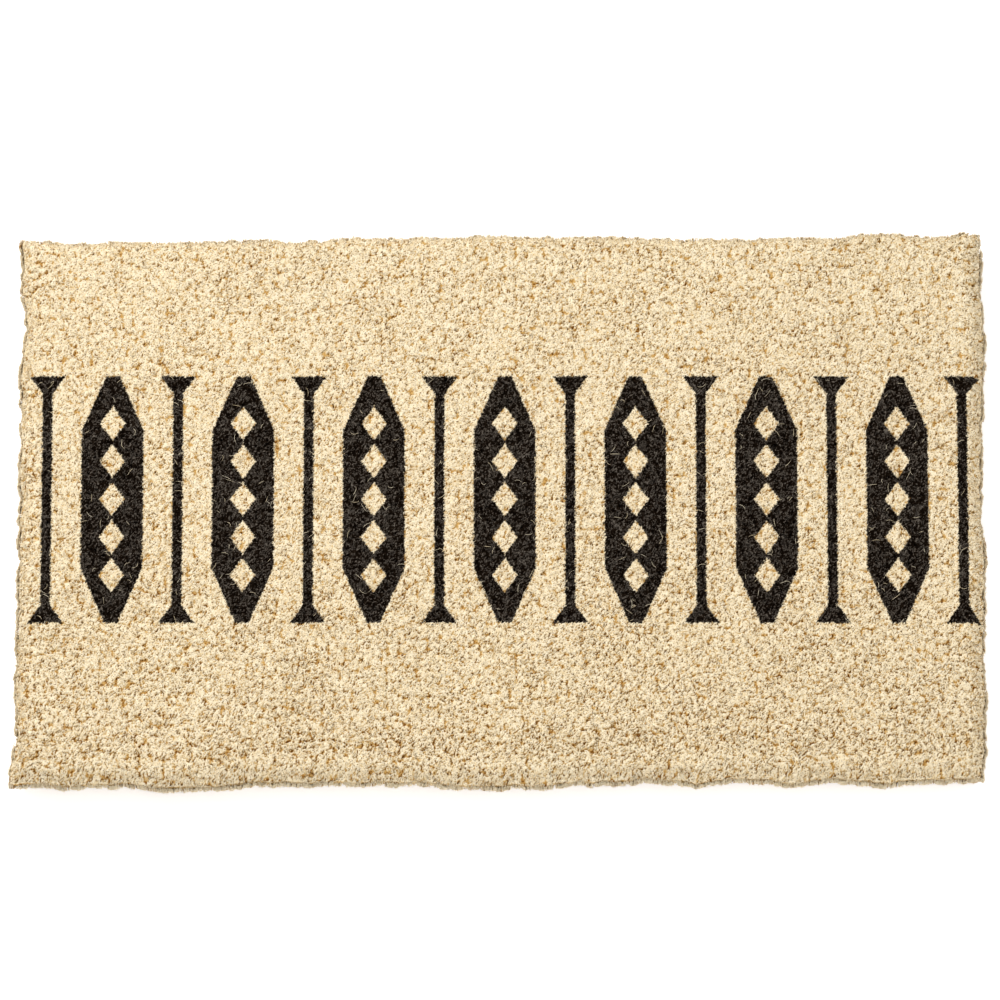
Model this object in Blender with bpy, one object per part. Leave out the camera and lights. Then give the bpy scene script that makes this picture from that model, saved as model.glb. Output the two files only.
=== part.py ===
"""A hand-woven coir door mat.

Warp cords run the mat's length, over and under weft cords that run across it. Each weft turns round a
rope along either long side. Blocks of standing coir fibre fill the openings of this weave: their roots
hang between the cords, and their crowns close into one level pile above them. Each short side ends in a
plaited hem, with a knot at each corner.

Units are metres and +Z is up. X runs along the mat and Y across it, from the front edge to the back edge.
The origin is the centre of the underside.
"""

import math

import bmesh
import bpy
from mathutils import Vector

# Whole mat
MAT_LENGTH = 0.762
MAT_WIDTH = 0.457
MAT_HEIGHT = 0.038

# Cords of the weave
WARP_COUNT = 9
WARP_DIAMETER = 0.0040
WEFT_DIAMETER = 0.0030
SELVAGE_DIAMETER = 0.0040
SIDE_OVERHANG = 0.005     # how far the pile stands out past the weft's turns
WARP_FLAT = 0.005         # level stretch of a warp where it crosses a weft
WEFT_TURN_SLOPE = math.radians(30)
WEFT_TURN_STEP = math.radians(30)
WEFT_TURN_STEPS = 6
CORD_SIDES = 6

# Pile
ROW_COUNT = 19
ROW_GAP = 0.0006
CROWN_BEVEL = 0.003
ROOT_LIFT = 0.0008        # how far the roots stay above the floor
ROOT_CLEARANCE = 0.0008

# Ends
HEM_WIDTH = 0.0085
HEM_HEIGHT = 0.0095
HEM_BEVEL = 0.003
HEM_SETBACK = 0.0085      # from the last weft to the hem
END_OVERHANG = 0.004      # how far the pile stands out past the hem
KNOT_DIAMETER = 0.0105

CLEARANCE = 0.0003        # between pieces that rest on each other

# Places worked out from the sizes above
WEFT_COUNT = ROW_COUNT + 1
ROW_PITCH = (MAT_LENGTH - 2 * (HEM_SETBACK + HEM_WIDTH + END_OVERHANG)) / ROW_COUNT
FLAT_SHARE = math.cos(math.pi / CORD_SIDES)
WARP_RISE = (WARP_DIAMETER + WEFT_DIAMETER) / 2 + CLEARANCE
TURN_RADIUS = (SELVAGE_DIAMETER + WEFT_DIAMETER) / 2 + CLEARANCE
TURN_CORNER = TURN_RADIUS / math.cos(WEFT_TURN_STEP / 2)
WARP_REACH = WARP_RISE + WARP_DIAMETER / 2 * FLAT_SHARE
TURN_REACH = TURN_CORNER + WEFT_DIAMETER / 2
BASE_MIDDLE = max(WARP_REACH, TURN_REACH)
CROWN_BOTTOM = 2 * BASE_MIDDLE + CLEARANCE
SELVAGE_Y = MAT_WIDTH / 2 - SIDE_OVERHANG - TURN_REACH
WARP_PITCH = 2 * SELVAGE_Y / (WARP_COUNT + 1)
LAST_WEFT_X = ROW_PITCH * ROW_COUNT / 2
HEM_X = LAST_WEFT_X + HEM_SETBACK + HEM_WIDTH / 2
HEM_INNER_X = HEM_X - HEM_WIDTH / 2
ROOT_HALF_WIDTH = ROW_PITCH / 2 - WEFT_DIAMETER / 2 - ROOT_CLEARANCE
KNOT_RADIUS = KNOT_DIAMETER / 2


def clear_scene():
    for item in list(bpy.data.objects):
        bpy.data.objects.remove(item, do_unlink=True)


def make_material(name, colour, roughness):
    material = bpy.data.materials.new(name)
    material.use_nodes = True
    shader = material.node_tree.nodes["Principled BSDF"]
    shader.inputs["Base Color"].default_value = (*colour, 1)
    shader.inputs["Roughness"].default_value = roughness
    shader.inputs["Metallic"].default_value = 0
    return material


def finish_mesh(name, bm, material, smooth=False):
    bmesh.ops.recalc_face_normals(bm, faces=bm.faces)
    mesh = bpy.data.meshes.new(name)
    bm.to_mesh(mesh)
    bm.free()
    mesh.materials.append(material)
    if smooth:
        mesh.shade_smooth()
        mesh.set_sharp_from_angle(angle=math.radians(50))
    return mesh


def place(name, mesh, parent, location, rotation=(0, 0, 0)):
    item = bpy.data.objects.new(name, mesh)
    item.location = location
    item.rotation_euler = rotation
    item.parent = parent
    bpy.context.collection.objects.link(item)
    return item


def add_cord(bm, points, radius, side):
    """A closed cord along points that lie in one plane; side is the unit vector square to that plane."""
    rings = []
    for index, point in enumerate(points):
        ahead = (points[min(index + 1, len(points) - 1)] - point).normalized()
        behind = (point - points[max(index - 1, 0)]).normalized()
        along = (ahead + behind).normalized()
        across = side.cross(along)
        bend = ahead.angle(behind, 0) / 2
        stretch = 1 / math.cos(bend) if 0 < index < len(points) - 1 else 1
        ring = []
        for corner in range(CORD_SIDES):
            turn = 2 * math.pi * corner / CORD_SIDES
            offset = side * math.cos(turn) + across * math.sin(turn) * stretch
            ring.append(bm.verts.new(point + offset * radius))
        rings.append(ring)
    for ring, following in zip(rings, rings[1:]):
        for corner in range(CORD_SIDES):
            after = (corner + 1) % CORD_SIDES
            bm.faces.new((ring[corner], ring[after], following[after], following[corner]))
    bm.faces.new(rings[0])
    bm.faces.new(rings[-1])


def weft_x(index):
    return (index - (WEFT_COUNT - 1) / 2) * ROW_PITCH


def warp_y(index):
    return (index - (WARP_COUNT - 1) / 2) * WARP_PITCH


def warp_mesh(material):
    """A warp that passes over the first weft, under the second, and so on."""
    end = Vector((HEM_INNER_X - CLEARANCE, 0, 0))
    level = Vector((LAST_WEFT_X + WARP_FLAT / 2 + WARP_RISE, 0, 0))
    points = [-end, -level]
    for index in range(WEFT_COUNT):
        height = WARP_RISE if index % 2 == 0 else -WARP_RISE
        points.append(Vector((weft_x(index) - WARP_FLAT / 2, 0, height)))
        points.append(Vector((weft_x(index) + WARP_FLAT / 2, 0, height)))
    points += [level, end]
    bm = bmesh.new()
    add_cord(bm, points, WARP_DIAMETER / 2, Vector((0, 1, 0)))
    return finish_mesh("warp_cord", bm, material, smooth=True)


def weft_mesh(material):
    """A weft across the mat, turned over the rope at each end."""
    turn = []
    for step in range(WEFT_TURN_STEPS):
        angle = math.pi / 2 + WEFT_TURN_SLOPE - step * WEFT_TURN_STEP
        y = SELVAGE_Y + TURN_CORNER * math.cos(angle)
        turn.append(Vector((0, y, TURN_CORNER * math.sin(angle))))
    foot = Vector((0, SELVAGE_Y - TURN_CORNER / math.sin(WEFT_TURN_SLOPE), 0))
    half = [foot] + turn
    mirrored = [Vector((0, -point.y, point.z)) for point in reversed(half)]
    bm = bmesh.new()
    add_cord(bm, mirrored + half, WEFT_DIAMETER / 2, Vector((1, 0, 0)))
    return finish_mesh("weft_cord", bm, material, smooth=True)


def selvage_mesh(material):
    end = Vector((HEM_X - KNOT_RADIUS - CLEARANCE, 0, 0))
    bm = bmesh.new()
    add_cord(bm, [-end, end], SELVAGE_DIAMETER / 2, Vector((0, 1, 0)))
    return finish_mesh("selvage_rope", bm, material, smooth=True)


def hem_mesh(material):
    """The plait along a short side, as a bar with rounded long edges."""
    length = 2 * (SELVAGE_Y - KNOT_RADIUS - CLEARANCE)
    bm = bmesh.new()
    bmesh.ops.create_cube(bm, size=1)
    bmesh.ops.scale(bm, vec=(HEM_WIDTH, length, HEM_HEIGHT), verts=bm.verts)
    long_edges = [edge for edge in bm.edges if abs(edge.verts[0].co.y - edge.verts[1].co.y) > length / 2]
    bmesh.ops.bevel(
        bm, geom=long_edges, offset=HEM_BEVEL, segments=2, profile=0.5, affect="EDGES"
    )
    return finish_mesh("end_hem", bm, material, smooth=True)


def knot_mesh(material):
    bm = bmesh.new()
    bmesh.ops.create_icosphere(bm, subdivisions=2, radius=KNOT_RADIUS)
    bmesh.ops.scale(bm, vec=(1, 1, HEM_HEIGHT / KNOT_DIAMETER), verts=bm.verts)
    return finish_mesh("corner_knot", bm, material, smooth=True)


def root_edges():
    """Where the roots start and end across the mat: one root between each pair of neighbouring cords."""
    cords = [(-SELVAGE_Y, SELVAGE_DIAMETER / 2)]
    cords += [(warp_y(index), WARP_DIAMETER / 2) for index in range(WARP_COUNT)]
    cords += [(SELVAGE_Y, SELVAGE_DIAMETER / 2)]
    edges = []
    for (low, low_radius), (high, high_radius) in zip(cords, cords[1:]):
        edges.append(low + low_radius + ROOT_CLEARANCE)
        edges.append(high - high_radius - ROOT_CLEARANCE)
    return edges


def pile_mesh(name, material, low_x, high_x):
    """A block of standing fibre, from low_x to high_x, with its roots hanging between the cords."""
    x_breaks = [low_x, -ROOT_HALF_WIDTH, ROOT_HALF_WIDTH, high_x]
    y_breaks = [-MAT_WIDTH / 2] + root_edges() + [MAT_WIDTH / 2]
    bm = bmesh.new()
    grid = [[bm.verts.new((x, y, CROWN_BOTTOM)) for y in y_breaks] for x in x_breaks]
    roots = []
    for column in range(len(x_breaks) - 1):
        for cell in range(len(y_breaks) - 1):
            corners = (
                grid[column][cell], grid[column][cell + 1],
                grid[column + 1][cell + 1], grid[column + 1][cell],
            )
            face = bm.faces.new(corners)
            if column == 1 and cell % 2 == 1:
                roots.append(face)

    crown = bmesh.ops.extrude_face_region(bm, geom=bm.faces[:])
    crown_top = [item for item in crown["geom"] if isinstance(item, bmesh.types.BMVert)]
    bmesh.ops.translate(bm, verts=crown_top, vec=(0, 0, MAT_HEIGHT - CROWN_BOTTOM))

    hanging = bmesh.ops.extrude_discrete_faces(bm, faces=roots)["faces"]
    root_ends = {vert for face in hanging for vert in face.verts}
    bmesh.ops.translate(bm, verts=list(root_ends), vec=(0, 0, ROOT_LIFT - CROWN_BOTTOM))

    middle = (CROWN_BOTTOM + MAT_HEIGHT) / 2
    above = [edge for edge in bm.edges if max(vert.co.z for vert in edge.verts) > middle]
    bmesh.ops.dissolve_limit(bm, angle_limit=math.radians(1), verts=crown_top, edges=above)
    rim = [edge for edge in bm.edges if min(vert.co.z for vert in edge.verts) > middle]
    bmesh.ops.bevel(bm, geom=rim, offset=CROWN_BEVEL, segments=1, profile=0.5, affect="EDGES")
    return finish_mesh(name, bm, material)


def build_weave(parent, cord_material):
    warp = warp_mesh(cord_material)
    for index in range(WARP_COUNT):
        flip = (math.pi * (index % 2), 0, 0)
        place(f"warp_cord_{index + 1}", warp, parent, (0, warp_y(index), BASE_MIDDLE), flip)
    weft = weft_mesh(cord_material)
    for index in range(WEFT_COUNT):
        flip = (math.pi * (index % 2), 0, 0)
        place(f"weft_cord_{index + 1:02d}", weft, parent, (weft_x(index), 0, BASE_MIDDLE), flip)


def build_edges(parent, rope_material, hem_material):
    rope = selvage_mesh(rope_material)
    hem = hem_mesh(hem_material)
    knot = knot_mesh(rope_material)
    for side, y in (("front", -SELVAGE_Y), ("back", SELVAGE_Y)):
        place(f"selvage_rope_{side}", rope, parent, (0, y, BASE_MIDDLE))
    for end, x in (("left", -HEM_X), ("right", HEM_X)):
        place(f"end_hem_{end}", hem, parent, (x, 0, HEM_HEIGHT / 2))
        for side, y in (("front", -SELVAGE_Y), ("back", SELVAGE_Y)):
            place(f"corner_knot_{side}_{end}", knot, parent, (x, y, HEM_HEIGHT / 2))


def build_pile(parent, pile_material):
    inner_edge = ROW_PITCH / 2 - ROW_GAP / 2
    outer_edge = MAT_LENGTH / 2 - (LAST_WEFT_X - ROW_PITCH / 2)
    inner = pile_mesh("pile_row", pile_material, -inner_edge, inner_edge)
    outer = pile_mesh("pile_end_row", pile_material, -inner_edge, outer_edge)
    for index in range(ROW_COUNT):
        mesh = outer if index in (0, ROW_COUNT - 1) else inner
        turn = (0, 0, math.pi if index == 0 else 0)
        x = (index - (ROW_COUNT - 1) / 2) * ROW_PITCH
        place(f"pile_row_{index + 1:02d}", mesh, parent, (x, 0, 0), turn)


def main():
    clear_scene()
    mat = bpy.data.objects.new("mat", None)
    bpy.context.collection.objects.link(mat)
    bleached_coir = make_material("bleached_coir", (0.775, 0.644, 0.413), 0.95)
    brown_cord = make_material("brown_coir_cord", (0.434, 0.238, 0.089), 0.90)
    edge_cord = make_material("edge_coir_cord", (0.480, 0.300, 0.130), 0.90)
    plaited_cord = make_material("plaited_coir_cord", (0.530, 0.350, 0.170), 0.90)
    build_weave(mat, brown_cord)
    build_edges(mat, edge_cord, plaited_cord)
    build_pile(mat, bleached_coir)


main()
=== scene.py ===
"""The looks of a hand-woven coir door mat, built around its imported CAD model.

The pile is made as the real one is: tufts stand in rows across the mat, a few millimetres apart, and
their shorn tips make the top. Each block of rows has a closed body, which holds the clumps and the
hollows between them, and thousands of separate fibres that stand in it. Fibres whose tips lie under the
printed band are black and are pieces of their own. Below the pile lie the woven cords, the edge ropes,
the plaited hems and the corner knots.

Units are metres. X runs along the mat, Y across it towards the back, and Z up.
"""

import math

import bpy
import numpy as np
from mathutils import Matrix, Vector


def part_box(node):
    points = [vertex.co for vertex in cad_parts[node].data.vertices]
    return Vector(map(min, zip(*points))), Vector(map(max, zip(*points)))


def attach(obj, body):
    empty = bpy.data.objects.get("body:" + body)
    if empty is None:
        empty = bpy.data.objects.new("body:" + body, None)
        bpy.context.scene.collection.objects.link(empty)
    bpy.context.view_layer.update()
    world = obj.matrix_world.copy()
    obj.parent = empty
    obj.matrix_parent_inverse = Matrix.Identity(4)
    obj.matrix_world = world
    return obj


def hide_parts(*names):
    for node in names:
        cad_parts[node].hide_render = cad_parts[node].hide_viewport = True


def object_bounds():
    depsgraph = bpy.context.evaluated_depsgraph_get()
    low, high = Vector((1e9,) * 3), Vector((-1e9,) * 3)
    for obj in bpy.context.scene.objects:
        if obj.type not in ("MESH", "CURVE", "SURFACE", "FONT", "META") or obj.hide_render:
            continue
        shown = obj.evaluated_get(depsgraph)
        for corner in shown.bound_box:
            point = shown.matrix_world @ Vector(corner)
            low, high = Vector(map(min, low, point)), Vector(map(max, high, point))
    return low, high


MM = 0.001

# The mat as packed
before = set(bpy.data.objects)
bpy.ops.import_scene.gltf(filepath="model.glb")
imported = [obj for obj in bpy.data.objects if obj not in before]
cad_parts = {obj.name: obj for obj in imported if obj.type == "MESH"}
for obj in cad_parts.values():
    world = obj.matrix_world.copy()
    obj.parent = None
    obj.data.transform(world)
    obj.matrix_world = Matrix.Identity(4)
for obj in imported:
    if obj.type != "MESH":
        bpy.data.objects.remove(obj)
cad_low, cad_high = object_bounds()
HALF_LENGTH = cad_high.x
HALF_WIDTH = cad_high.y
MAT_TOP = cad_high.z
WEAVE_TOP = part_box("warp_cord_5")[1].z
ROW_NODES = sorted(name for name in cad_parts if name.startswith("pile_row"))

# Tufts
TUFT_PITCH_X = 4.6 * MM
TUFT_PITCH_Y = 4.4 * MM
TUFT_JITTER = 1.8 * MM
TUFT_REACH = 3.2 * MM
TUFT_SIZES = (0.75, 1.25)
TUFT_LIFT = 0.10 * MM
ROW_STAGGER = 0.6

# Outline: broad lobes, ragged tufts, ends that lean and long edges that rise to the right
LOBE_DEPTH = 2.6 * MM
LOBE_LENGTH = 38 * MM
RAGGED_DEPTH = 1.0 * MM
RAGGED_LENGTH = 9 * MM
END_LEAN = 2.4 * MM
EDGE_RISE = 3.1 * MM

# Surface of the pile bodies
GRID_STEP = 0.72 * MM
SIDE_RINGS = 9
RIM_ROUNDING = 15 * MM
RIM_DROP = 12.0 * MM
RIM_POWER = 2.6
BODY_TOP = MAT_TOP - 1.0 * MM
BODY_BOTTOM = WEAVE_TOP - 3.0 * MM
BODY_INSET = 7 * MM
SIDE_BULGE = 1.6 * MM
SIDE_RECESS = 1.4 * MM
CORNER_TURN = 11 * MM
BODY_RECESS = 1.2 * MM
COLOUR_DEPTH = 7 * MM

# Hollows between tufts, and the pits in them
BORDER_WIDTH = 0.8 * MM
BORDER_DEPTH = 0.9 * MM
CORNER_WIDTH = 0.9 * MM
CORNER_DEPTH = 0.2 * MM
OPEN_CORNER_DEPTH = 6.0 * MM
DOME_RADIUS = 2.2 * MM
DOME_DROP = 0.17 * MM
OPEN_SHARE = 0.13
PITS = 60000
PIT_LENGTHS = [0, 1, 2, 3]
PIT_LENGTH_ODDS = [0.35, 0.35, 0.2, 0.1]
PIT_DEPTHS = (1.8 * MM, 4.6 * MM)
PIT_SHARE = 0.12
OPEN_PIT_SHARE = 1.6

# Fibres
FIBRE_ENDS = 600000
END_SAMPLES = 6
END_LENGTHS = (0.8 * MM, 3.0 * MM)
END_SLOPES = (0.1, 1.4)
END_SCATTER = 0.28 * MM
DYE_FUZZ = 0.42 * MM
HEADING_SCATTER = 0.8
FIBRE_BLOCKS = 6
FIBRES_PER_TUFT = 6
FIBRE_LENGTHS = (3.5 * MM, 7.0 * MM)
FIBRE_RADII = (0.20 * MM, 0.34 * MM)
OUTWARD_LEAN = 4 * MM
OUTWARD_REACH = 22 * MM
OUTWARD_TIP = 0.6
EDGE_FIBRE_PITCH = 0.12 * MM
EDGE_FIBRE_RADII = (0.22 * MM, 0.40 * MM)
EDGE_TUFT_PITCH = 6.4 * MM
EDGE_RINGS = 4
TALL_SHARE = 0.6
CORNER_REACH = 5 * MM
STRAY_FIBRES = 1300
STRAY_RINGS = 6
STRAY_RADIUS = 0.12 * MM
STRAY_END_RADIUS = 0.07 * MM
PALETTE_COLUMNS = 64
RUST_TONE = 0.86
SIDE_PAINTED_LIGHT = 0.5
CORD_END_SHARE = 0.4
CORD_END_TONE = 0.92

# Cords
WEAVE_MIDDLE = WEAVE_TOP / 2
WARP_RADIUS = 1.7 * MM
WEFT_RADIUS = 1.3 * MM
WARPS_PER_NODE = 4
WEFTS_PER_NODE = 6
ROPE_RADIUS = 2.0 * MM
STRAND_RADIUS = 2.2 * MM
PLAIT_PITCH = 26 * MM
KNOT_CORD_RADIUS = 1.8 * MM
CORD_SIDES = 8
WARP_RINGS = 720
WEFT_HALF_RINGS = 85
WEFT_TURN_RINGS = 12
ROPE_RINGS = 330
PLAIT_RINGS = 200
KNOT_RINGS = 70
PLY_TURN = 13 * MM
ALONG_X, ALONG_Y, ALONG_Z = np.eye(3)

# Printed band
BAND_LOW = -0.0997
BAND_HIGH = 0.1078
BAND_LEFT = -0.3740
BAND_RIGHT = 0.3795
BAND_END = 14 * MM
BAND_UNITS = 7
HEXAGON_REACH = 24.5 * MM
HEXAGON_SHOULDER = 0.56
HEXAGON_SLANT = 0.42
DIAMOND_PITCH = 32 * MM
DIAMOND_REACH = 10 * MM
DIAMOND_SLANT = 0.70
BAR_REACH = 4.0 * MM
FOOT_START = 0.86
FOOT_SLANT = 0.7

# Stage
FLOOR_SIZE = 12
FLOOR_GREY = 0.92
FLOOR_GLOW = 0.40
SKY_OVERHEAD = 0.55
KEY_PLACE = (-1.5, 1.6, 2.6)
KEY_SIZE = 0.8
KEY_POWER = 76
FILL_PLACE = (1.2, -1.8, 2.4)
FILL_SIZE = 2.0
FILL_POWER = 26
CAMERA_ELEVATION = math.radians(70)
CAMERA_DISTANCE = 10.0
CAMERA_LENS = 454
CAMERA_SENSOR = 36
CAMERA_AIM = Vector((-0.001, 0.0097, MAT_TOP / 2))


# ---------------------------------------------------------------- fields

def smooth_step(low, high, value):
    share = np.clip((value - low) / (high - low), 0, 1)
    return share * share * (3 - 2 * share)


def noise_at(x, y, size, seed):
    """Smooth noise from -1 to 1, with bumps about size across."""
    table = np.random.default_rng(seed).uniform(-1, 1, (256, 256))
    column, row = np.floor(x / size).astype(int), np.floor(y / size).astype(int)
    across, along = x / size - column, y / size - row
    across, along = across * across * (3 - 2 * across), along * along * (3 - 2 * along)
    low = table[column % 256, row % 256] * (1 - across) + table[(column + 1) % 256, row % 256] * across
    high = (
        table[column % 256, (row + 1) % 256] * (1 - across)
        + table[(column + 1) % 256, (row + 1) % 256] * across
    )
    return low * (1 - along) + high * along


def edge_wave(place, seed):
    """How far an edge of the mat wanders outwards, along that edge."""
    still = np.zeros_like(place)
    lobes = LOBE_DEPTH * noise_at(place, still, LOBE_LENGTH, seed)
    ragged = RAGGED_DEPTH * noise_at(place, still, RAGGED_LENGTH, seed + 50)
    return lobes + ragged


def bend_outline(x, y):
    """Moves points of the plain rectangle so that its edges wander as on a mat cut by hand."""
    across, along = x / HALF_LENGTH, y / HALF_WIDTH
    right, left = smooth_step(0.72, 1, across), smooth_step(0.72, 1, -across)
    back, front = smooth_step(0.6, 1, along), smooth_step(0.6, 1, -along)
    moved_x = right * edge_wave(y, 11) - left * edge_wave(y, 12)
    moved_y = back * edge_wave(x, 13) - front * edge_wave(x, 14)
    # The mat isn't quite square.
    moved_x = moved_x + (left + right) * END_LEAN * along
    moved_y = moved_y + (back + front) * EDGE_RISE * across
    return x + moved_x, y + moved_y


# ---------------------------------------------------------------- printed band

def band_shade(x, y):
    """Signed distance into the printed shapes, in metres: above 0 is dye.

    The band is a row of tall hexagons, each with a column of plain diamonds left clear inside it, and an
    upright bar with small feet between each two.
    """
    unit = (BAND_RIGHT - BAND_LEFT - 2 * BAND_END) / BAND_UNITS
    middle_y = (BAND_LOW + BAND_HIGH) / 2
    half_height = (BAND_HIGH - BAND_LOW) / 2
    from_middle = np.abs(y - middle_y)
    local = (x - BAND_LEFT - BAND_END) % unit - unit / 2
    inside = np.minimum(x - BAND_LEFT, BAND_RIGHT - x)

    # Tall hexagon, cut off slantwise towards its ends
    shoulder = np.maximum(0, from_middle - HEXAGON_SHOULDER * half_height)
    slant = HEXAGON_REACH - np.abs(local) - shoulder * HEXAGON_SLANT
    hexagon = np.minimum(slant, half_height - from_middle)

    # Column of diamonds left clear
    place = y - middle_y
    nearest = np.clip(np.round(place / DIAMOND_PITCH), -2, 2) * DIAMOND_PITCH
    diamond = DIAMOND_REACH - np.abs(local) - np.abs(place - nearest) * DIAMOND_SLANT
    hexagon = np.minimum(hexagon, -diamond)

    # Upright bar with feet, centred between two hexagons
    beside = unit / 2 - np.abs(local)
    foot = np.maximum(0, from_middle - FOOT_START * half_height) * FOOT_SLANT
    bar = np.minimum(BAR_REACH + foot - beside, half_height - from_middle)
    return np.minimum(np.maximum(hexagon, bar), inside)


# ---------------------------------------------------------------- tufts

class Tufts:
    """Where each tuft stands, with its own tone, height and lean."""

    def __init__(self):
        rng = np.random.default_rng(3)
        self.rows = int(2 * HALF_LENGTH / TUFT_PITCH_X)
        self.columns = int(2 * HALF_WIDTH / TUFT_PITCH_Y)
        self.pitch_x = 2 * HALF_LENGTH / self.rows
        self.pitch_y = 2 * HALF_WIDTH / self.columns
        shape = (self.rows + 2, self.columns + 2)
        row, column = np.indices(shape) - 1
        stagger = rng.uniform(-0.5, 0.5, (shape[0], 1)) * self.pitch_y
        self.x = (row + 0.5) * self.pitch_x - HALF_LENGTH + rng.uniform(-1, 1, shape) * TUFT_JITTER
        self.y = (column + 0.5) * self.pitch_y - HALF_WIDTH + rng.uniform(-1, 1, shape) * TUFT_JITTER
        self.y = self.y + stagger * ROW_STAGGER
        self.size = rng.uniform(*TUFT_SIZES, shape)
        self.tone = rng.uniform(0, 1, shape)
        self.lift = rng.normal(0, TUFT_LIFT, shape)

    def nearest(self, x, y):
        """Distances to the three nearest tufts, nearest first, with the nearest one's row and column."""
        last_row, last_column = self.rows + 1, self.columns + 1
        home_row = np.floor((x + HALF_LENGTH) / self.pitch_x).astype(int) + 1
        home_column = np.floor((y + HALF_WIDTH) / self.pitch_y).astype(int) + 1
        home_row, home_column = np.clip(home_row, 0, last_row), np.clip(home_column, 0, last_column)
        distances, rows, columns = [], [], []
        for step_row in (-1, 0, 1):
            for step_column in (-2, -1, 0, 1, 2):
                row = np.clip(home_row + step_row, 0, last_row)
                column = np.clip(home_column + step_column, 0, last_column)
                gap = np.hypot(x - self.x[row, column], y - self.y[row, column])
                distances.append(gap / self.size[row, column] ** 0.5)
                rows.append(row)
                columns.append(column)
        distances, rows, columns = np.array(distances), np.array(rows), np.array(columns)
        order = np.argsort(distances, axis=0)[:3]
        ranked = np.take_along_axis(distances, order, axis=0)
        home = order[:1]
        return ranked, np.take_along_axis(rows, home, 0)[0], np.take_along_axis(columns, home, 0)[0]


def rim_distance(x, y):
    """Distance from the nearest edge of the plain rectangle."""
    return np.minimum(HALF_LENGTH - np.abs(x), HALF_WIDTH - np.abs(y))


def smooth_top(x, y):
    """Height of the shorn top without its clumps: level, with slow waves, and rounded off at the rim."""
    rim = np.clip(1 - rim_distance(x, y) / RIM_ROUNDING, 0, 1)
    waves = 0.5 * noise_at(x, y, 55 * MM, 21) + 0.3 * noise_at(x, y, 17 * MM, 22)
    return BODY_TOP + waves * MM - RIM_DROP * rim ** RIM_POWER


def openness(x, y):
    """How far the tufts stand apart, from 0 to 1: more towards the front, in a strip just behind the front
    rim, along the left end and the rim, and in slow patches."""
    strip = smooth_step(-0.180, -0.198, y) - 1.5 * smooth_step(-0.205, -0.218, y)
    forward = 0.18 * smooth_step(0.02, -0.20, y) + 0.22 * strip
    rim = 0.08 * smooth_step(18 * MM, 8 * MM, rim_distance(x, y))
    left = 0.10 * smooth_step(24 * MM, 10 * MM, x + HALF_LENGTH)
    patches = noise_at(x, y, 24 * MM, 31) + 0.6 * noise_at(x, y, 9 * MM, 32)
    return np.clip(OPEN_SHARE + forward + rim + left + 0.15 * patches, 0, 1)


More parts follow.
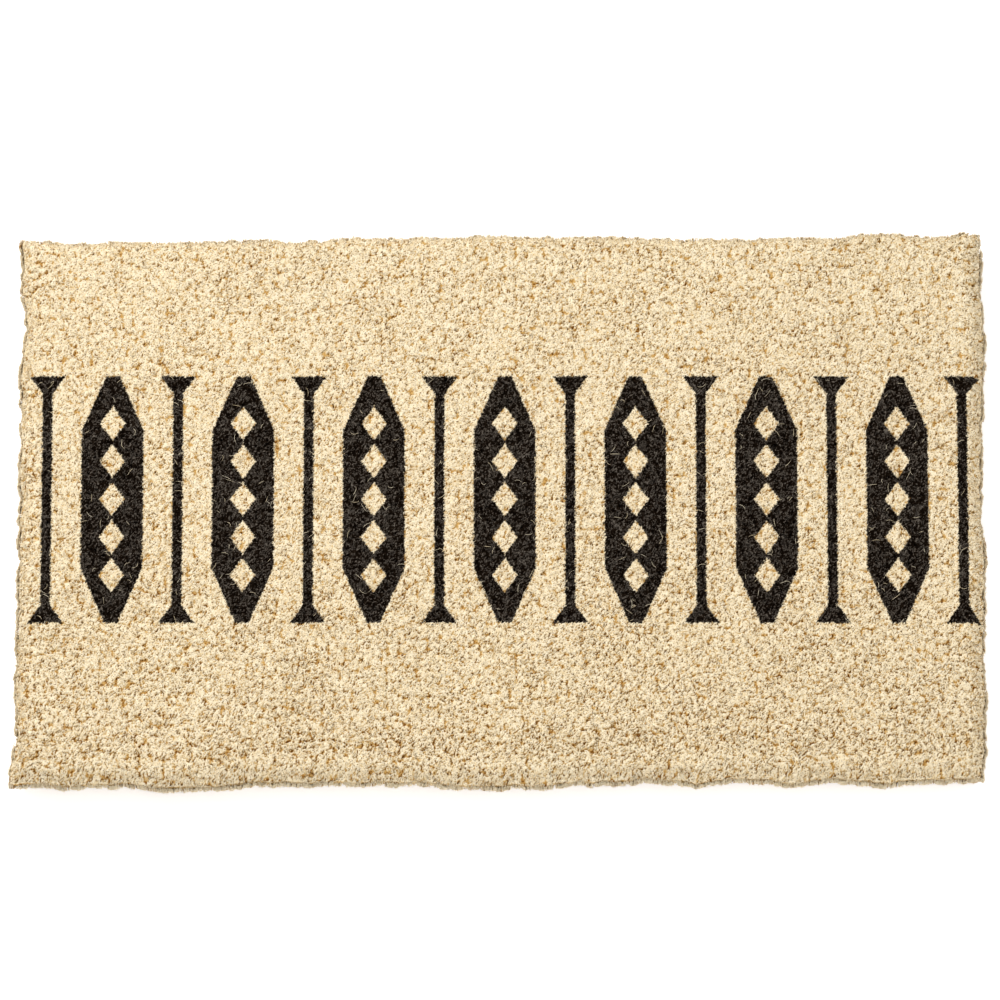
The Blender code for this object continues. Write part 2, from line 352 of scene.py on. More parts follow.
class PileSurface:
    """The shorn surface as a grid of points over the plain rectangle.

    Short ends of fibre lie over a base that dips between the tufts. Each grid point takes the height,
    tone and dye of the highest one.
    """

    def __init__(self, tufts):
        self.columns = int(round(2 * HALF_LENGTH / GRID_STEP)) + 1
        self.lines = int(round(2 * HALF_WIDTH / GRID_STEP)) + 1
        along = np.linspace(-HALF_LENGTH, HALF_LENGTH, self.columns)
        across = np.linspace(-HALF_WIDTH, HALF_WIDTH, self.lines)
        x, y = (axis.ravel() for axis in np.meshgrid(along, across, indexing="ij"))
        self.x, self.y = x, y
        self.bent_x, self.bent_y = bend_outline(x, y)
        self.top = smooth_top(x, y)
        self.hollow = self.hollow_depth(tufts, x, y)
        self.height = self.top - self.hollow - BODY_RECESS
        self.tone = np.full(len(x), 0.7)
        self.shade = band_shade(self.bent_x, self.bent_y)
        self.dye = (self.shade > 0).astype(float)
        self.lay_fibre_ends(tufts)
        self.open_pits()
        self.depth = np.clip((self.top - self.height) / COLOUR_DEPTH, 0, 1)

    def cell(self, x, y):
        """Grid point nearest to x, y."""
        last_column, last_line = self.columns - 1, self.lines - 1
        column = np.round((x + HALF_LENGTH) / (2 * HALF_LENGTH) * last_column)
        line = np.round((y + HALF_WIDTH) / (2 * HALF_WIDTH) * last_line)
        column, line = np.clip(column, 0, last_column), np.clip(line, 0, last_line)
        return (column * self.lines + line).astype(int)

    @staticmethod
    def hollow_depth(tufts, x, y):
        """How deep the surface dips between tufts: a little where two meet, and more where three do."""
        ranked, row, column = tufts.nearest(x, y)
        first, second, third = ranked
        open_share = openness(x, y)
        border = 1 - np.clip((second - first) / BORDER_WIDTH, 0, 1)
        corner = 1 - np.clip((third - first) / CORNER_WIDTH, 0, 1)
        at_border = BORDER_DEPTH * open_share * border ** 2
        at_corner = (CORNER_DEPTH + OPEN_CORNER_DEPTH * open_share) * corner ** 2
        dome = DOME_DROP * (first / DOME_RADIUS) ** 2
        return at_border + at_corner + dome - tufts.lift[row, column]

    def lay_fibre_ends(self, tufts):
        rng = np.random.default_rng(5)
        home_x, home_y, home_tone = tufts.x.ravel(), tufts.y.ravel(), tufts.tone.ravel()
        home = rng.integers(0, len(home_x), FIBRE_ENDS)
        angle = rng.uniform(0, 2 * math.pi, FIBRE_ENDS)
        reach = np.sqrt(rng.uniform(0, 1, FIBRE_ENDS)) * TUFT_REACH
        tip_x, tip_y = home_x[home] + np.cos(angle) * reach, home_y[home] + np.sin(angle) * reach
        tip = self.cell(tip_x, tip_y)
        tip_z = self.top[tip] - self.hollow[tip] + rng.normal(0, END_SCATTER, FIBRE_ENDS)
        heading = angle + rng.normal(0, HEADING_SCATTER, FIBRE_ENDS)
        bend = rng.normal(0, 0.5, FIBRE_ENDS)
        length = rng.uniform(*END_LENGTHS, FIBRE_ENDS)
        slope = rng.uniform(*END_SLOPES, FIBRE_ENDS)
        tone = fibre_tone(rng, tip_x, tip_y, home_tone[home])
        fuzz = rng.normal(0, DYE_FUZZ, FIBRE_ENDS)

        cells, heights = [], []
        for sample in range(END_SAMPLES):
            back = length * sample / (END_SAMPLES - 1)
            turn = heading + bend * sample / (END_SAMPLES - 1)
            cells.append(self.cell(tip_x - np.cos(turn) * back, tip_y - np.sin(turn) * back))
            heights.append(tip_z - slope * back)
        cells, heights = np.concatenate(cells), np.concatenate(heights)
        order = np.argsort(heights)
        order = order[heights[order] > self.height[cells[order]]]
        cells, owner = cells[order], order % FIBRE_ENDS
        self.height[cells] = heights[order]
        self.tone[cells] = tone[owner]
        self.dye[cells] = self.shade[cells] + fuzz[owner] > 0

    def open_pits(self):
        """Narrow dark gaps between fibres, one to four grid points long, most where tufts stand apart."""
        rng = np.random.default_rng(6)
        x, y = rng.uniform(-HALF_LENGTH, HALF_LENGTH, PITS), rng.uniform(-HALF_WIDTH, HALF_WIDTH, PITS)
        kept = rng.uniform(0, 1, PITS) < PIT_SHARE + OPEN_PIT_SHARE * openness(x, y)
        x, y = x[kept], y[kept]
        heading = rng.uniform(0, 2 * math.pi, len(x))
        length = rng.choice(PIT_LENGTHS, len(x), p=PIT_LENGTH_ODDS)
        down = rng.uniform(*PIT_DEPTHS, len(x))
        for step in PIT_LENGTHS:
            going = length >= step
            pit_x = x[going] + np.cos(heading[going]) * step * GRID_STEP
            pit_y = y[going] + np.sin(heading[going]) * step * GRID_STEP
            here = self.cell(pit_x, pit_y)
            self.height[here] = np.minimum(self.height[here], self.top[here] - down[going])


def fibre_tone(rng, x, y, tuft_tone):
    """Tone of each fibre, from 0 for ivory to 1 for dark brown. Rust-coloured ones keep together."""
    count = len(x)
    patches = 0.5 + 0.5 * noise_at(x, y, 13 * MM, 33)
    tone = rng.uniform(0, 1, count) ** 1.5 * 0.60 + 0.10 * (tuft_tone - 0.5)
    rusty = rng.uniform(0, 1, count) < 0.03 + 0.16 * np.maximum(0, patches - 0.60)
    return np.clip(np.where(rusty, rng.uniform(RUST_TONE, 1, count), tone), 0, 0.999)


# ---------------------------------------------------------------- materials

def ramp(nodes, stops):
    node = nodes.new("ShaderNodeValToRGB")
    elements = node.color_ramp.elements
    while len(elements) > 1:
        elements.remove(elements[-1])
    elements[0].position, elements[0].color = stops[0][0], (*stops[0][1], 1)
    for position, colour in stops[1:]:
        elements.new(position).color = (*colour, 1)
    return node


def new_material(name, roughness):
    material = bpy.data.materials.new(name)
    material.use_nodes = True
    nodes, links = material.node_tree.nodes, material.node_tree.links
    shader = nodes["Principled BSDF"]
    shader.inputs["Roughness"].default_value = roughness
    shader.inputs["Specular IOR Level"].default_value = 0.03
    return material, nodes, links, shader


def attribute(nodes, name):
    node = nodes.new("ShaderNodeAttribute")
    node.attribute_name = name
    return node.outputs["Fac"]


def mix(nodes, links, kind, share, first, second):
    node = nodes.new("ShaderNodeMix")
    node.data_type = "RGBA"
    node.blend_type = kind
    for socket, value in ((node.inputs[0], share), (node.inputs[6], first), (node.inputs[7], second)):
        if isinstance(value, bpy.types.NodeSocket):
            links.new(value, socket)
        else:
            socket.default_value = value
    return node.outputs[2]


NATURAL_TONES = [
    (0.00, (0.87, 0.77, 0.575)),
    (0.35, (0.80, 0.67, 0.45)),
    (0.60, (0.70, 0.54, 0.30)),
    (0.78, (0.58, 0.39, 0.16)),
    (0.90, (0.45, 0.22, 0.06)),
    (1.00, (0.16, 0.08, 0.03)),
]
# Black dye, with a grey stop at 0.52 that is a painted glint: light caught on single black fibres.
PRINTED_TONES_AND_GLINTS = [
    (0.00, (0.0020, 0.0009, 0.0002)),
    (0.22, (0.0055, 0.0027, 0.0010)),
    (0.38, (0.018, 0.0115, 0.0070)),
    (0.52, (0.13, 0.112, 0.092)),
    (0.70, (0.034, 0.026, 0.020)),
    (1.00, (0.025, 0.017, 0.011)),
]
# Deeper below the top the pile turns brown and dark: partly the brown of the roots, partly painted shade in
# hollows and pits.
DEPTH_ROOT_AND_SHADE_TINTS = [
    (0.12, (1, 1, 1)),
    (0.25, (0.86, 0.72, 0.47)),
    (0.38, (0.56, 0.33, 0.12)),
    (0.75, (0.20, 0.09, 0.025)),
]
CORD_TONES = [
    (0.00, (0.58, 0.41, 0.22)),
    (0.50, (0.46, 0.28, 0.12)),
    (1.00, (0.30, 0.16, 0.06)),
]


def fibre_material(name, tones, root):
    """Fibre: its tone runs along the palette, and it darkens towards its root."""
    material, nodes, links, shader = new_material(name, 0.82)
    tone = ramp(nodes, tones)
    links.new(attribute(nodes, "tone"), tone.inputs["Fac"])
    # On the cords, height runs across the plies, and the root colour becomes painted shade in the grooves
    # between them.
    halfway = tuple((1 + part) / 2 for part in root)
    height = ramp(nodes, [(0.0, root), (0.55, halfway), (0.9, (1, 1, 1))])
    links.new(attribute(nodes, "height"), height.inputs["Fac"])
    colour = mix(nodes, links, "MULTIPLY", 1.0, tone.outputs["Color"], height.outputs["Color"])
    links.new(colour, shader.inputs["Base Color"])
    return material


def body_material():
    """Pile body: own tone per fibre end, root brown and painted shade in the hollows, black under the band.
    """
    material, nodes, links, shader = new_material("coir_pile_body", 0.9)
    place = nodes.new("ShaderNodeTexCoord").outputs["Object"]
    gap_noise = nodes.new("ShaderNodeTexNoise")
    gap_noise.inputs["Scale"].default_value = 900
    gap_noise.inputs["Detail"].default_value = 2
    links.new(place, gap_noise.inputs["Vector"])

    tone = ramp(nodes, NATURAL_TONES)
    links.new(attribute(nodes, "tone"), tone.inputs["Fac"])
    root_and_shade = ramp(nodes, DEPTH_ROOT_AND_SHADE_TINTS)
    links.new(attribute(nodes, "depth"), root_and_shade.inputs["Fac"])
    # Fine noise darkens small spots: painted shade in the gaps between fibres.
    painted_gap_shade = ramp(nodes, [(0.34, (0.20, 0.11, 0.04)), (0.43, (1, 1, 1))])
    links.new(gap_noise.outputs["Fac"], painted_gap_shade.inputs["Fac"])
    natural = mix(nodes, links, "MULTIPLY", 1.0, tone.outputs["Color"], painted_gap_shade.outputs["Color"])
    natural = mix(nodes, links, "MULTIPLY", 1.0, natural, root_and_shade.outputs["Color"])

    black = ramp(nodes, PRINTED_TONES_AND_GLINTS)
    links.new(attribute(nodes, "tone"), black.inputs["Fac"])
    # The black darkens deeper down too: painted shade.
    shaded = ramp(nodes, [(0.12, (1, 1, 1)), (0.40, (0.30, 0.30, 0.30))])
    links.new(attribute(nodes, "depth"), shaded.inputs["Fac"])
    dyed = mix(nodes, links, "MULTIPLY", 1.0, black.outputs["Color"], shaded.outputs["Color"])
    colour = mix(nodes, links, "MIX", attribute(nodes, "dye"), natural, dyed)
    links.new(colour, shader.inputs["Base Color"])
    return material


# ---------------------------------------------------------------- meshes

def make_piece(name, points, triangles, attributes, uv, material, slot, creased=None):
    """A mesh piece from arrays: points (n, 3), triangles (m, 3), one value per point for each attribute,
    and a place on the bake map for each corner of each triangle (m, 3, 2).

    An edge between two points that creased marks is sharp.
    """
    mesh = bpy.data.meshes.new(name)
    mesh.vertices.add(len(points))
    mesh.vertices.foreach_set("co", points.astype(np.float32).ravel())
    mesh.loops.add(triangles.size)
    mesh.loops.foreach_set("vertex_index", triangles.astype(np.int32).ravel())
    mesh.polygons.add(len(triangles))
    mesh.polygons.foreach_set("loop_start", np.arange(0, triangles.size, 3, dtype=np.int32))
    mesh.uv_layers.new(name="OFBake").data.foreach_set("uv", uv.astype(np.float32).ravel())
    for key, values in attributes.items():
        mesh.attributes.new(key, "FLOAT", "POINT").data.foreach_set("value", values.astype(np.float32))
    mesh.update(calc_edges=True)
    mesh.shade_smooth()
    if creased is not None:
        ends = np.zeros(2 * len(mesh.edges), dtype=np.int32)
        mesh.edges.foreach_get("vertices", ends)
        sharp = creased[ends].reshape(-1, 2).all(axis=1)
        mesh.attributes.new("sharp_edge", "BOOLEAN", "EDGE").data.foreach_set("value", sharp)
    mesh.materials.append(material)
    piece = bpy.data.objects.new(name, mesh)
    bpy.context.scene.collection.objects.link(piece)
    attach(piece, "root")
    return piece


def tubes(centre, radius, tone, roll, height=None, helper=None):
    """Closed tubes, all with the same number of rings and sides.

    centre is (tubes, rings, 3), radius is (tubes, rings) or (tubes, rings, sides), and tone and roll are
    (tubes,). height is the second place on the palette, of the same shape as radius; without it, height
    runs from 0 at the root to 1 at the tip. Returns points, triangles, attributes and places on the bake
    map, which is a palette with tone across and height up. helper is a direction that no tube follows.
    """
    if radius.ndim == 2:
        radius = np.repeat(radius[:, :, None], 3, axis=2)
    count, rings, sides = radius.shape
    if height is None:
        height = np.broadcast_to((np.arange(rings) / (rings - 1))[None, :, None], radius.shape)
    along = np.gradient(centre, axis=1)
    along /= np.linalg.norm(along, axis=2, keepdims=True)
    if helper is None:
        overall = centre[:, -1] - centre[:, 0]
        upright = np.abs(overall[:, 2]) > 0.8 * np.linalg.norm(overall, axis=1)
        helper = np.where(upright[:, None], [[1.0, 0, 0]], [[0, 0, 1.0]])[:, None]
    side = np.cross(along, helper)
    side /= np.linalg.norm(side, axis=2, keepdims=True)
    other = np.cross(along, side)
    turn = (roll[:, None] + np.arange(sides) * 2 * math.pi / sides)[:, None, :, None]
    spoke = np.cos(turn) * side[:, :, None] + np.sin(turn) * other[:, :, None]
    points = centre[:, :, None] + spoke * radius[..., None]

    faces, across, lift = [], [], []
    for ring in range(rings - 1):
        for corner in range(sides):
            after = (corner + 1) % sides
            a, b = ring * sides + corner, ring * sides + after
            faces += [(a, b, b + sides), (a, b + sides, a + sides)]
            across += [(0.1, 0.9, 0.7), (0.1, 0.7, 0.3)]
            lift += [(-0.01, -0.01, 0.01), (-0.01, 0.01, 0.01)]
    last = (rings - 1) * sides
    for corner in range(1, sides - 1):
        faces += [(corner + 1, corner, 0), (last, last + corner, last + corner + 1)]
        across += [(0.1, 0.9, 0.5)] * 2
        lift += [(0.02, 0.02, 0.0), (-0.02, -0.02, 0.0)]
    faces = np.array(faces)

    triangles = (faces[None] + np.arange(count)[:, None, None] * rings * sides).reshape(-1, 3)
    column = np.minimum((tone * PALETTE_COLUMNS).astype(int), PALETTE_COLUMNS - 1)
    u = (column[:, None, None] + np.array(across)[None]) / PALETTE_COLUMNS
    v = height.reshape(count, -1)[:, faces] + np.array(lift)[None]
    uv = np.stack([np.broadcast_to(u, v.shape), np.clip(v, 0.0, 1.0)], axis=-1).reshape(-1, 3, 2)
    attributes = {
        "tone": np.repeat((column + 0.5) / PALETTE_COLUMNS, rings * sides),
        "height": height.reshape(-1),
    }
    return points.reshape(-1, 3), triangles, attributes, uv


# ---------------------------------------------------------------- pile bodies

def outward(x, y):
    """Direction that the sides move in: straight out along an edge, turning gradually at the corners."""
    near_x = np.clip(1 - (HALF_LENGTH - np.abs(x)) / CORNER_TURN, 0, 1)
    near_y = np.clip(1 - (HALF_WIDTH - np.abs(y)) / CORNER_TURN, 0, 1)
    return np.sign(x) * near_x, np.sign(y) * near_y


def side_move(share):
    """How far the pile's side stands out from the rim, from the rim at 0 to the weave at 1."""
    bulge = SIDE_BULGE * np.sin(math.pi * np.clip(share * 1.4, 0, 1))
    return bulge - BODY_INSET * smooth_step(0.35, 1.05, share)


def build_body(surface, number, first, last, node, material):
    """A closed body under the grid columns first to last, in place of one CAD row."""
    lines = surface.lines
    block = slice(first * lines, (last + 1) * lines)
    plain_x, plain_y = surface.x[block], surface.y[block]
    top = np.stack([surface.bent_x[block], surface.bent_y[block], surface.height[block]], -1)
    index = np.arange(len(top)).reshape(-1, lines)

    # The rim runs round the block, anticlockwise from its front left corner.
    rim = np.concatenate([index[:-1, 0], index[-1, :-1], index[:0:-1, -1], index[0, :0:-1]])
    rim_x, rim_y = plain_x[rim], plain_y[rim]
    map_x = (rim_x == plain_x[-1]).astype(float) - (rim_x == plain_x[0])
    map_y = (rim_y > HALF_WIDTH - 1e-6).astype(float) - (rim_y < 1e-6 - HALF_WIDTH)
    out_x, out_y = outward(rim_x, rim_y)
    along_edge = np.where(map_y != 0, rim_x, rim_y)
    points, depth, flat = [top], [surface.depth[block]], [top[:, :2]]
    for ring in range(1, SIDE_RINGS + 1):
        share = ring / SIDE_RINGS
        streak = noise_at(along_edge, np.full_like(along_edge, share * 4 * MM), 1.5 * MM, 44)
        clump = noise_at(along_edge, np.full_like(along_edge, share * 12 * MM), 6 * MM, 45)
        # The body stays behind the fibres that cover it.
        behind = (0.6 * streak + 0.7 * clump) * MM - SIDE_RECESS
        move = side_move(share) + behind * math.sin(math.pi * share)
        level = top[rim, 2] + (BODY_BOTTOM - top[rim, 2]) * share
        points.append(np.stack([top[rim, 0] + out_x * move, top[rim, 1] + out_y * move, level], -1))
        # The sides darken downwards and the underside is dark through the depth tint: root brown and
        # painted shade under the pile.
        depth.append(np.clip(0.15 + 0.35 * share - 0.10 * streak - 0.06 * clump, 0, 1))
        flat.append(top[rim, :2] + np.stack([map_x, map_y], -1) * ring * MM)
    points.append(points[-1].mean(axis=0, keepdims=True))
    depth.append(np.array([0.9]))

    triangles = [np.stack([index[:-1, :-1], index[1:, :-1], index[1:, 1:]], -1).reshape(-1, 3)]
    triangles.append(np.stack([index[:-1, :-1], index[1:, 1:], index[:-1, 1:]], -1).reshape(-1, 3))
    rings = [rim] + [len(top) + ring * len(rim) + np.arange(len(rim)) for ring in range(SIDE_RINGS)]
    for upper, lower in zip(rings, rings[1:]):
        upper_next, lower_next = np.roll(upper, -1), np.roll(lower, -1)
        triangles.append(np.stack([upper, lower, lower_next], -1))
        triangles.append(np.stack([upper, lower_next, upper_next], -1))
    upright = np.concatenate(triangles)
    centre = np.full(len(rim), len(top) + SIDE_RINGS * len(rim))
    underside = np.stack([np.roll(rings[-1], -1), rings[-1], centre], -1)

    # On the bake map the sides lie around the top, and the underside lies beside them, drawn narrower.
    flat = np.concatenate(flat + [flat[-1].mean(axis=0, keepdims=True)])
    middle, reach = flat[-1], np.abs(flat - flat[-1]).max(axis=0)
    flat = (flat - middle) / reach / 2
    under = flat * (0.15, 1) + (0.6, 0)
    place = np.concatenate([flat[upright], under[underside]])
    uv = (place + (0.5, 0.5)) * (0.80, 0.99) + 0.005

    points, depth = np.concatenate(points), np.concatenate(depth)
    tone, dye = np.full(len(points), 0.45), np.zeros(len(points))
    tone[: len(top)], dye[: len(top)] = surface.tone[block], surface.dye[block]
    # The walls where two blocks meet leave no mark in the shading of the top.
    creased = np.zeros(len(points), dtype=bool)
    creased[index[0]], creased[index[-1]] = first > 0, last < surface.columns - 1
    triangles = np.concatenate([upright, underside])
    attributes = {"depth": depth, "tone": tone, "dye": dye}
    name = f"pile_body_{number}"
    piece = make_piece(name, points, triangles, attributes, uv, material, "pile_natural", creased)
    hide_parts(node)


# ---------------------------------------------------------------- standing fibres

def top_fibres(tufts, surface, rng):
    """Centres, radii and tones of the fibres that stand in the tufts, and whether each is printed."""
    home_x = np.repeat(tufts.x.ravel(), FIBRES_PER_TUFT)
    home_y = np.repeat(tufts.y.ravel(), FIBRES_PER_TUFT)
    tuft_tone = np.repeat(tufts.tone.ravel(), FIBRES_PER_TUFT)
    angle = rng.uniform(0, 2 * math.pi, len(home_x))
    reach = np.sqrt(rng.uniform(0, 1, len(home_x))) * TUFT_REACH * 0.9
    x, y = home_x + np.cos(angle) * reach, home_y + np.sin(angle) * reach
    inside = (np.abs(x) < HALF_LENGTH - 1 * MM) & (np.abs(y) < HALF_WIDTH - 1 * MM)
    x, y, angle, reach, tuft_tone = (value[inside] for value in (x, y, angle, reach, tuft_tone))
    count = len(x)
    here = surface.cell(x, y)

    # Fibres lean away from the middle of their tuft, and outwards near the edges of the mat.
    lean = reach * 0.5 + rng.uniform(0, 1.8, count) * MM
    heading = angle + rng.normal(0, HEADING_SCATTER, count)
    outward_x = np.sign(x) * smooth_step(OUTWARD_REACH, 0, HALF_LENGTH - np.abs(x)) * OUTWARD_LEAN
    outward_y = np.sign(y) * smooth_step(OUTWARD_REACH, 0, HALF_WIDTH - np.abs(y)) * OUTWARD_LEAN
    length = rng.uniform(*FIBRE_LENGTHS, count)
    rise = rng.uniform(0.1, 1.0, count) * MM
    tip_x = surface.bent_x[here] + outward_x * OUTWARD_TIP
    tip_y = surface.bent_y[here] + outward_y * OUTWARD_TIP
    tip = np.stack([tip_x, tip_y, surface.height[here] + rise], -1)
    lean_x = np.cos(heading) * lean + outward_x
    lean_y = np.sin(heading) * lean + outward_y
    root = tip - np.stack([lean_x, lean_y, length], -1)
    thick = rng.uniform(*FIBRE_RADII, count)
    tone = fibre_tone(rng, x, y, tuft_tone)
    printed = band_shade(tip[:, 0], tip[:, 1]) + rng.normal(0, 0.5, count) * MM > 0
    return np.stack([root, tip], axis=1), np.stack([thick, thick], axis=1), tone, printed


def build_pile(tufts, surface, body, natural, printed_material):
    rng = np.random.default_rng(7)
    cuts = [0]
    for name in ROW_NODES[:-1]:
        cuts.append(surface.cell(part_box(name)[1].x, 0) // surface.lines)
    cuts.append(surface.columns - 1)
    for number, name in enumerate(ROW_NODES):
        build_body(surface, number + 1, cuts[number], cuts[number + 1], name, body)

    centre, radius, tone, printed = top_fibres(tufts, surface, rng)
    roll = rng.uniform(0, 2 * math.pi, len(tone))
    along = (centre[:, 1, 0] / HALF_LENGTH + 1) / 2
    block = np.clip((along * FIBRE_BLOCKS).astype(int), 0, FIBRE_BLOCKS - 1)
    for index in range(FIBRE_BLOCKS):
        for name, chosen, material, slot in (
            ("pile_fibres", (block == index) & ~printed, natural, "pile_natural"),
            ("printed_fibres", (block == index) & printed, printed_material, "pile_printed"),
        ):
            parts = tubes(centre[chosen], radius[chosen], tone[chosen], roll[chosen])
            make_piece(f"{name}_{index + 1}", *parts, material, slot)


def build_edge_fibres(material):
    """Long fibres that rise from the weave up the four sides, in tufts that spread towards the rim."""
    sides = {
        "front": (HALF_LENGTH, HALF_WIDTH, 0.0, -1.0),
        "back": (HALF_LENGTH, HALF_WIDTH, 0.0, 1.0),
        "left": (HALF_WIDTH, HALF_LENGTH, -1.0, 0.0),
        "right": (HALF_WIDTH, HALF_LENGTH, 1.0, 0.0),
    }
    rng = np.random.default_rng(9)
    share = np.linspace(0, 1, EDGE_RINGS)[None]
    for name, (half_run, half_other, out_x, out_y) in sides.items():
        count = int(2 * half_run / EDGE_FIBRE_PITCH)
        tufts = int(2 * half_run / EDGE_TUFT_PITCH)
        tuft = rng.integers(0, tufts, count)
        middle = (tuft + 0.5 + rng.uniform(-0.3, 0.3, tufts)[tuft]) / tufts * 2 * half_run - half_run
        spread = rng.normal(0, 1, count)
        run = middle[:, None] + spread[:, None] * (1.5 + 1.3 * share) * MM
        run = np.clip(run, -half_run, half_run)
        plain_x = run * abs(out_y) + out_x * half_other
        plain_y = run * abs(out_x) + out_y * half_other
        x, y = bend_outline(plain_x, plain_y)

        # Most fibres reach the rim, and the others end part of the way up the side.
        tall = rng.uniform(0, 1, count) < TALL_SHARE
        highest = np.where(tall, rng.uniform(0.85, 1.0, count), rng.uniform(0.4, 0.9, count))
        reach = share * highest[:, None]
        start = BODY_BOTTOM - rng.uniform(0, 2.5, count)[:, None] * MM
        rim = BODY_TOP - RIM_DROP + (0.8 + rng.uniform(-0.8, 0.8, tufts)[tuft][:, None]) * MM
        level = start + (rim - start) * reach
        tuft_out = rng.uniform(-1.0, 1.0, tufts)[tuft][:, None]
        own_out = rng.uniform(-1.0, 0.4, count)[:, None] + share ** 2 * rng.uniform(0, 1, count)[:, None]
        crown = np.cos(np.clip(spread, -1.6, 1.6))[:, None] * share
        out = side_move(1 - reach) + (tuft_out + own_out + crown) * MM
        way_x, way_y = outward(plain_x, plain_y)
        centre = np.stack([x + way_x * out, y + way_y * out, level], -1)

        thick = rng.uniform(*EDGE_FIBRE_RADII, count)[:, None] * (1 - 0.25 * share)
        tone = fibre_tone(rng, plain_x[:, 0], plain_y[:, 0], rng.uniform(0, 1, tufts)[tuft])
        # The sides' pale fibres are lightened, apart from the rust-coloured ones: painted light on the
        # sides.
        tone = np.where(tone < RUST_TONE, tone * SIDE_PAINTED_LIGHT, tone)
        # Ends of the brown cords show through at the left corners.
        at_left = plain_x[:, 0] < CORNER_REACH - HALF_LENGTH
        at_corner = at_left & (np.abs(plain_y[:, 0]) > HALF_WIDTH - CORNER_REACH)
        cord_end = at_corner & (rng.uniform(0, 1, count) < CORD_END_SHARE)
        tone = np.where(cord_end, CORD_END_TONE, tone)
        height = np.repeat((0.45 + 0.55 * reach)[:, :, None], 3, axis=2)
        parts = tubes(centre, thick, tone, rng.uniform(0, 6, count), height)
        make_piece(f"edge_fibres_{name}", *parts, material, "pile_natural")


def build_stray_fibres(surface, material):
    """Loose pale fibres that curl over the shorn top."""
    rng = np.random.default_rng(15)
    x = rng.uniform(-0.97, 0.97, STRAY_FIBRES) * HALF_LENGTH
    y = rng.uniform(-0.97, 0.97, STRAY_FIBRES) * HALF_WIDTH
    heading = rng.uniform(0, 2 * math.pi, STRAY_FIBRES)
    curl = rng.normal(0, 0.22, STRAY_FIBRES)
    step = rng.uniform(0.6, 1.7, STRAY_FIBRES) * MM
    rise = rng.uniform(0.4, 1.1, STRAY_FIBRES) * MM
    centre = np.zeros((STRAY_FIBRES, STRAY_RINGS, 3))
    for ring in range(STRAY_RINGS):
        here = surface.cell(x, y)
        lift = rise * math.sin(math.pi * (ring + 0.3) / STRAY_RINGS) + 0.35 * MM
        level = surface.height[here] * 0.3 + surface.top[here] * 0.7 + lift
        centre[:, ring] = np.stack([x, y, level], -1)
        x, y = x + np.cos(heading) * step, y + np.sin(heading) * step
        heading = heading + curl
    centre[:, 1:-1, 2] = (centre[:, :-2, 2] + centre[:, 1:-1, 2] + centre[:, 2:, 2]) / 3
    radius = np.full((STRAY_FIBRES, STRAY_RINGS), STRAY_RADIUS)
    radius[:, [0, -1]] = STRAY_END_RADIUS
    tone = rng.uniform(0, 0.45, STRAY_FIBRES)
    height = np.full((STRAY_FIBRES, STRAY_RINGS, 3), 0.95)
    parts = tubes(centre, radius, tone, rng.uniform(0, 6, STRAY_FIBRES), height)
    make_piece("stray_fibres", *parts, material, "pile_natural")


# ---------------------------------------------------------------- cords

def build_cord(name, centre, radius, tone, material, slot, helper):
    """A piece of two-ply twisted cords in place of a CAD node.

    centre is (cords, rings, 3), and tone is (cords,). The section has two lobes, which turn along the cord,
    with painted shade darkening the grooves between them.
    """
    steps = np.linalg.norm(np.diff(centre, axis=1), axis=2)
    length = np.concatenate([np.zeros((len(centre), 1)), np.cumsum(steps, axis=1)], axis=1)
    angle = np.arange(CORD_SIDES) * 2 * math.pi / CORD_SIDES
    lobe = 0.5 + 0.5 * np.cos(2 * (angle[None, None] - length[:, :, None] * 2 * math.pi / PLY_TURN))
    section = radius * (0.80 + 0.20 * lobe)
    section[:, [0, -1]] *= 0.6
    # The lobes also set the palette's height, so the grooves get painted shade.
    parts = tubes(centre, section, tone, np.zeros(len(centre)), 0.1 + 0.85 * lobe, helper)
    piece = make_piece(f"{name}_strands", *parts, material, slot)
    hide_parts(name)


def node_names(start):
    return sorted(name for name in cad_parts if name.startswith(start))


def box_middle(name):
    low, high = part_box(name)
    return (low + high) / 2


def nearest_node(places, nodes_at):
    """Which CAD node stands for the cord at each place: the nearest one."""
    return np.abs(places[:, None] - nodes_at[None]).argmin(axis=1)


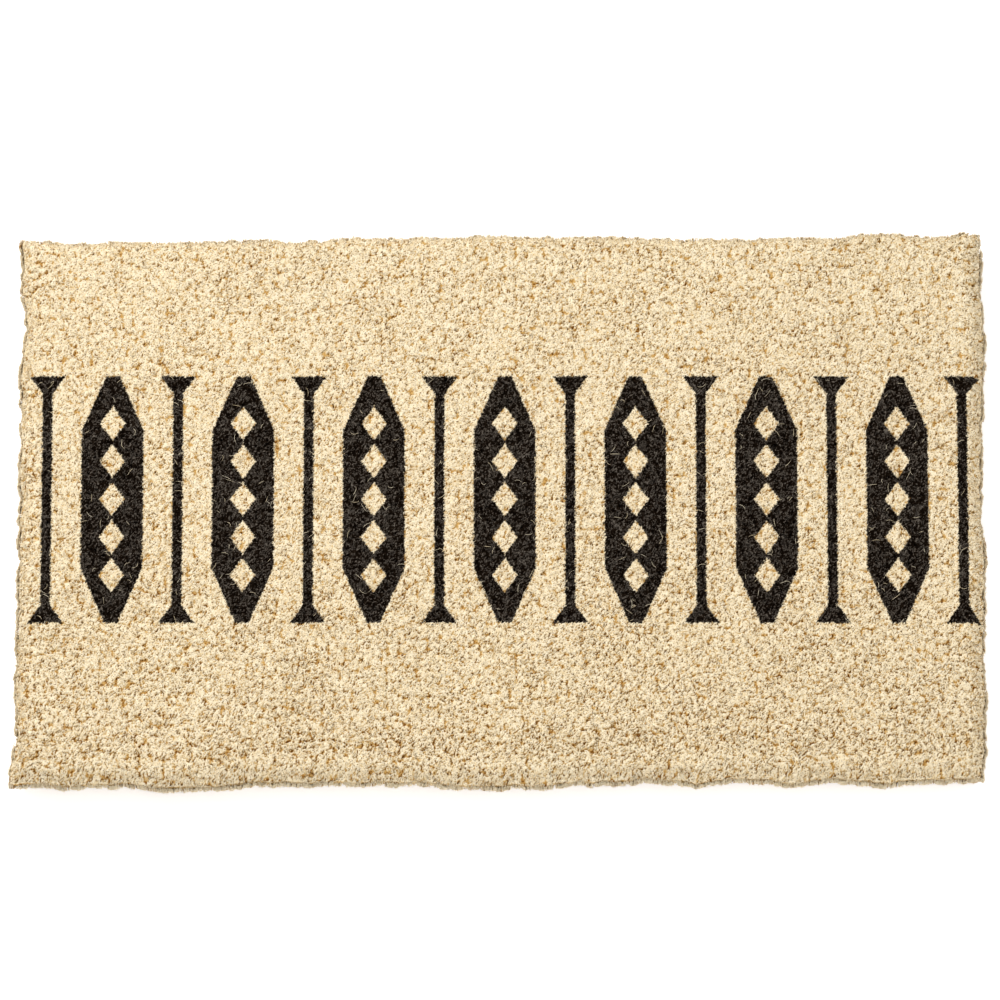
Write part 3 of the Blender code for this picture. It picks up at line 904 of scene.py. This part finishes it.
def build_weave(material):
    """Woven cords at their real spacing: four to six for a CAD warp, and three to six for a CAD weft."""
    rng = np.random.default_rng(17)
    warps, wefts = node_names("warp_cord"), node_names("weft_cord")
    node_y = np.array([box_middle(name).y for name in warps])
    node_x = np.array([box_middle(name).x for name in wefts])
    rope = box_middle("selvage_rope_back")
    warp_step = (node_y[1] - node_y[0]) / WARPS_PER_NODE
    weft_step = (node_x[1] - node_x[0]) / WEFTS_PER_NODE
    warp_y = np.arange(warp_step - rope.y, rope.y - warp_step / 2, warp_step)
    weft_x = np.arange(node_x[0], node_x[-1] + weft_step / 2, weft_step)

    warp_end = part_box(warps[0])[1].x
    x = np.linspace(-warp_end, warp_end, WARP_RINGS)
    swing = (WARP_RADIUS + WEFT_RADIUS) * np.cos(math.pi * (x - weft_x[0]) / weft_step)
    owner = nearest_node(warp_y, node_y)
    for number, name in enumerate(warps):
        centre = []
        for index in np.flatnonzero(owner == number):
            wander = 0.5 * MM * noise_at(x, np.full_like(x, warp_y[index]), 14 * MM, 51)
            way = -1 if index % 2 else 1
            centre.append(np.stack([x, warp_y[index] + wander, WEAVE_MIDDLE + way * swing], -1))
        tone = rng.uniform(0.1, 0.9, len(centre))
        build_cord(name, np.array(centre), WARP_RADIUS, tone, material, "weave_cord", ALONG_Y)

    # A weft rises over the edge rope at each end and turns round it.
    turn = np.radians(np.linspace(90, -130, WEFT_TURN_RINGS))
    turn_radius = ROPE_RADIUS + WEFT_RADIUS
    inner = np.linspace(0, rope.y - 9 * MM, WEFT_HALF_RINGS)
    half_y = np.concatenate([inner, rope.y + turn_radius * np.cos(turn)])
    half_z = np.concatenate([np.full_like(inner, WEAVE_MIDDLE), rope.z + turn_radius * np.sin(turn)])
    y, z = np.concatenate([-half_y[:0:-1], half_y]), np.concatenate([half_z[:0:-1], half_z])
    owner = nearest_node(weft_x, node_x)
    for number, name in enumerate(wefts):
        centre = []
        for index in np.flatnonzero(owner == number):
            wander = 0.4 * MM * noise_at(y, np.full_like(y, weft_x[index]), 12 * MM, 52)
            centre.append(np.stack([weft_x[index] + wander, y, z], -1))
        tone = rng.uniform(0.2, 0.99, len(centre))
        build_cord(name, np.array(centre), WEFT_RADIUS, tone, material, "weave_cord", ALONG_X)


def build_edges(material):
    """Edge ropes along the long sides, three-strand plaits along the short ones, and a knot per corner."""
    for name in node_names("selvage_rope"):
        low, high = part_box(name)
        middle = box_middle(name)
        x = np.linspace(low.x, high.x, ROPE_RINGS)
        centre = np.stack([x, np.full_like(x, middle.y), np.full_like(x, middle.z)], -1)[None]
        build_cord(name, centre, ROPE_RADIUS, np.array([0.4]), material, "selvage_rope", ALONG_Z)

    for name in node_names("end_hem"):
        low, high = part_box(name)
        middle = box_middle(name)
        y = np.linspace(low.y, high.y, PLAIT_RINGS)
        strand = STRAND_RADIUS * 1.05
        wide, tall = (high.x - low.x) / 2 - strand, (high.z - low.z) / 2 - strand
        phase = (y / PLAIT_PITCH)[None] * 2 * math.pi + np.arange(3)[:, None] * 2 * math.pi / 3
        strand_x, strand_z = middle.x + wide * np.sin(phase), middle.z + tall * np.sin(2 * phase)
        centre = np.stack([strand_x, np.broadcast_to(y, phase.shape), strand_z], -1)
        build_cord(name, centre, STRAND_RADIUS, np.array([0.25, 0.45, 0.7]), material, "end_hem", ALONG_Z)

    for name in node_names("corner_knot"):
        low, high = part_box(name)
        middle = box_middle(name)
        size = (high.x - low.x) / 2 - KNOT_CORD_RADIUS
        t = np.linspace(0, 2 * math.pi, KNOT_RINGS)
        around = size * (2 + np.cos(3 * t)) / 3
        knot_x, knot_y = middle.x + around * np.cos(2 * t), middle.y + around * np.sin(2 * t)
        knot_z = middle.z + (size - KNOT_CORD_RADIUS) * np.sin(3 * t)
        centre = np.stack([knot_x, knot_y, knot_z], -1)[None]
        build_cord(name, centre, KNOT_CORD_RADIUS, np.array([0.6]), material, "selvage_rope", ALONG_Z)


# ---------------------------------------------------------------- stage

def build_stage():
    scene = bpy.context.scene
    scene.view_settings.view_transform = "Standard"
    bpy.ops.mesh.primitive_plane_add(size=FLOOR_SIZE, location=(0, 0, 0))
    floor = bpy.context.object
    floor.name = "floor"
    material, _, _, shader = new_material("white_floor", 0.9)
    shader.inputs["Base Color"].default_value = (FLOOR_GREY, FLOOR_GREY, FLOOR_GREY, 1)
    shader.inputs["Emission Color"].default_value = (1, 1, 1, 1)
    shader.inputs["Emission Strength"].default_value = FLOOR_GLOW
    floor.data.materials.append(material)

    world = bpy.data.worlds.new("studio")
    world.use_nodes = True
    # The sky is white round the horizon and dimmer overhead.
    nodes, links = world.node_tree.nodes, world.node_tree.links
    height = nodes.new("ShaderNodeSeparateXYZ")
    links.new(nodes.new("ShaderNodeTexCoord").outputs["Generated"], height.inputs["Vector"])
    sky = ramp(nodes, [(0.30, (1, 1, 1)), (0.80, (SKY_OVERHEAD, SKY_OVERHEAD, SKY_OVERHEAD))])
    links.new(height.outputs["Z"], sky.inputs["Fac"])
    links.new(sky.outputs["Color"], nodes["Background"].inputs["Color"])
    scene.world = world

    def area(name, place, size, power):
        light = bpy.data.lights.new(name, "AREA")
        light.shape = "SQUARE"
        light.size = size
        light.energy = power
        lamp = bpy.data.objects.new(name, light)
        lamp.location = place
        lamp.rotation_euler = (-Vector(place)).to_track_quat("-Z", "Y").to_euler()
        scene.collection.objects.link(lamp)

    area("key_light", KEY_PLACE, KEY_SIZE, KEY_POWER)
    area("fill_light", FILL_PLACE, FILL_SIZE, FILL_POWER)

    back = Vector((0, -math.cos(CAMERA_ELEVATION), math.sin(CAMERA_ELEVATION)))
    camera_data = bpy.data.cameras.new("camera")
    camera_data.sensor_width = CAMERA_SENSOR
    camera_data.lens = CAMERA_LENS
    camera = bpy.data.objects.new("camera", camera_data)
    camera.location = CAMERA_AIM + back * CAMERA_DISTANCE
    camera.rotation_euler = (-back).to_track_quat("-Z", "Y").to_euler()
    scene.collection.objects.link(camera)
    scene.camera = camera


# ---------------------------------------------------------------- whole mat

def main():
    tufts = Tufts()
    surface = PileSurface(tufts)
    natural = fibre_material("coir_fibre", NATURAL_TONES, (0.60, 0.47, 0.32))
    printed = fibre_material("printed_fibre", PRINTED_TONES_AND_GLINTS, (0.9, 0.8, 0.7))
    # On the cords, this darkest colour is painted shade in the grooves between the plies.
    cord = fibre_material("coir_cord", CORD_TONES, (0.30, 0.24, 0.20))
    build_pile(tufts, surface, body_material(), natural, printed)
    build_edge_fibres(natural)
    build_stray_fibres(surface, natural)
    build_weave(cord)
    build_edges(cord)
    build_stage()


main()
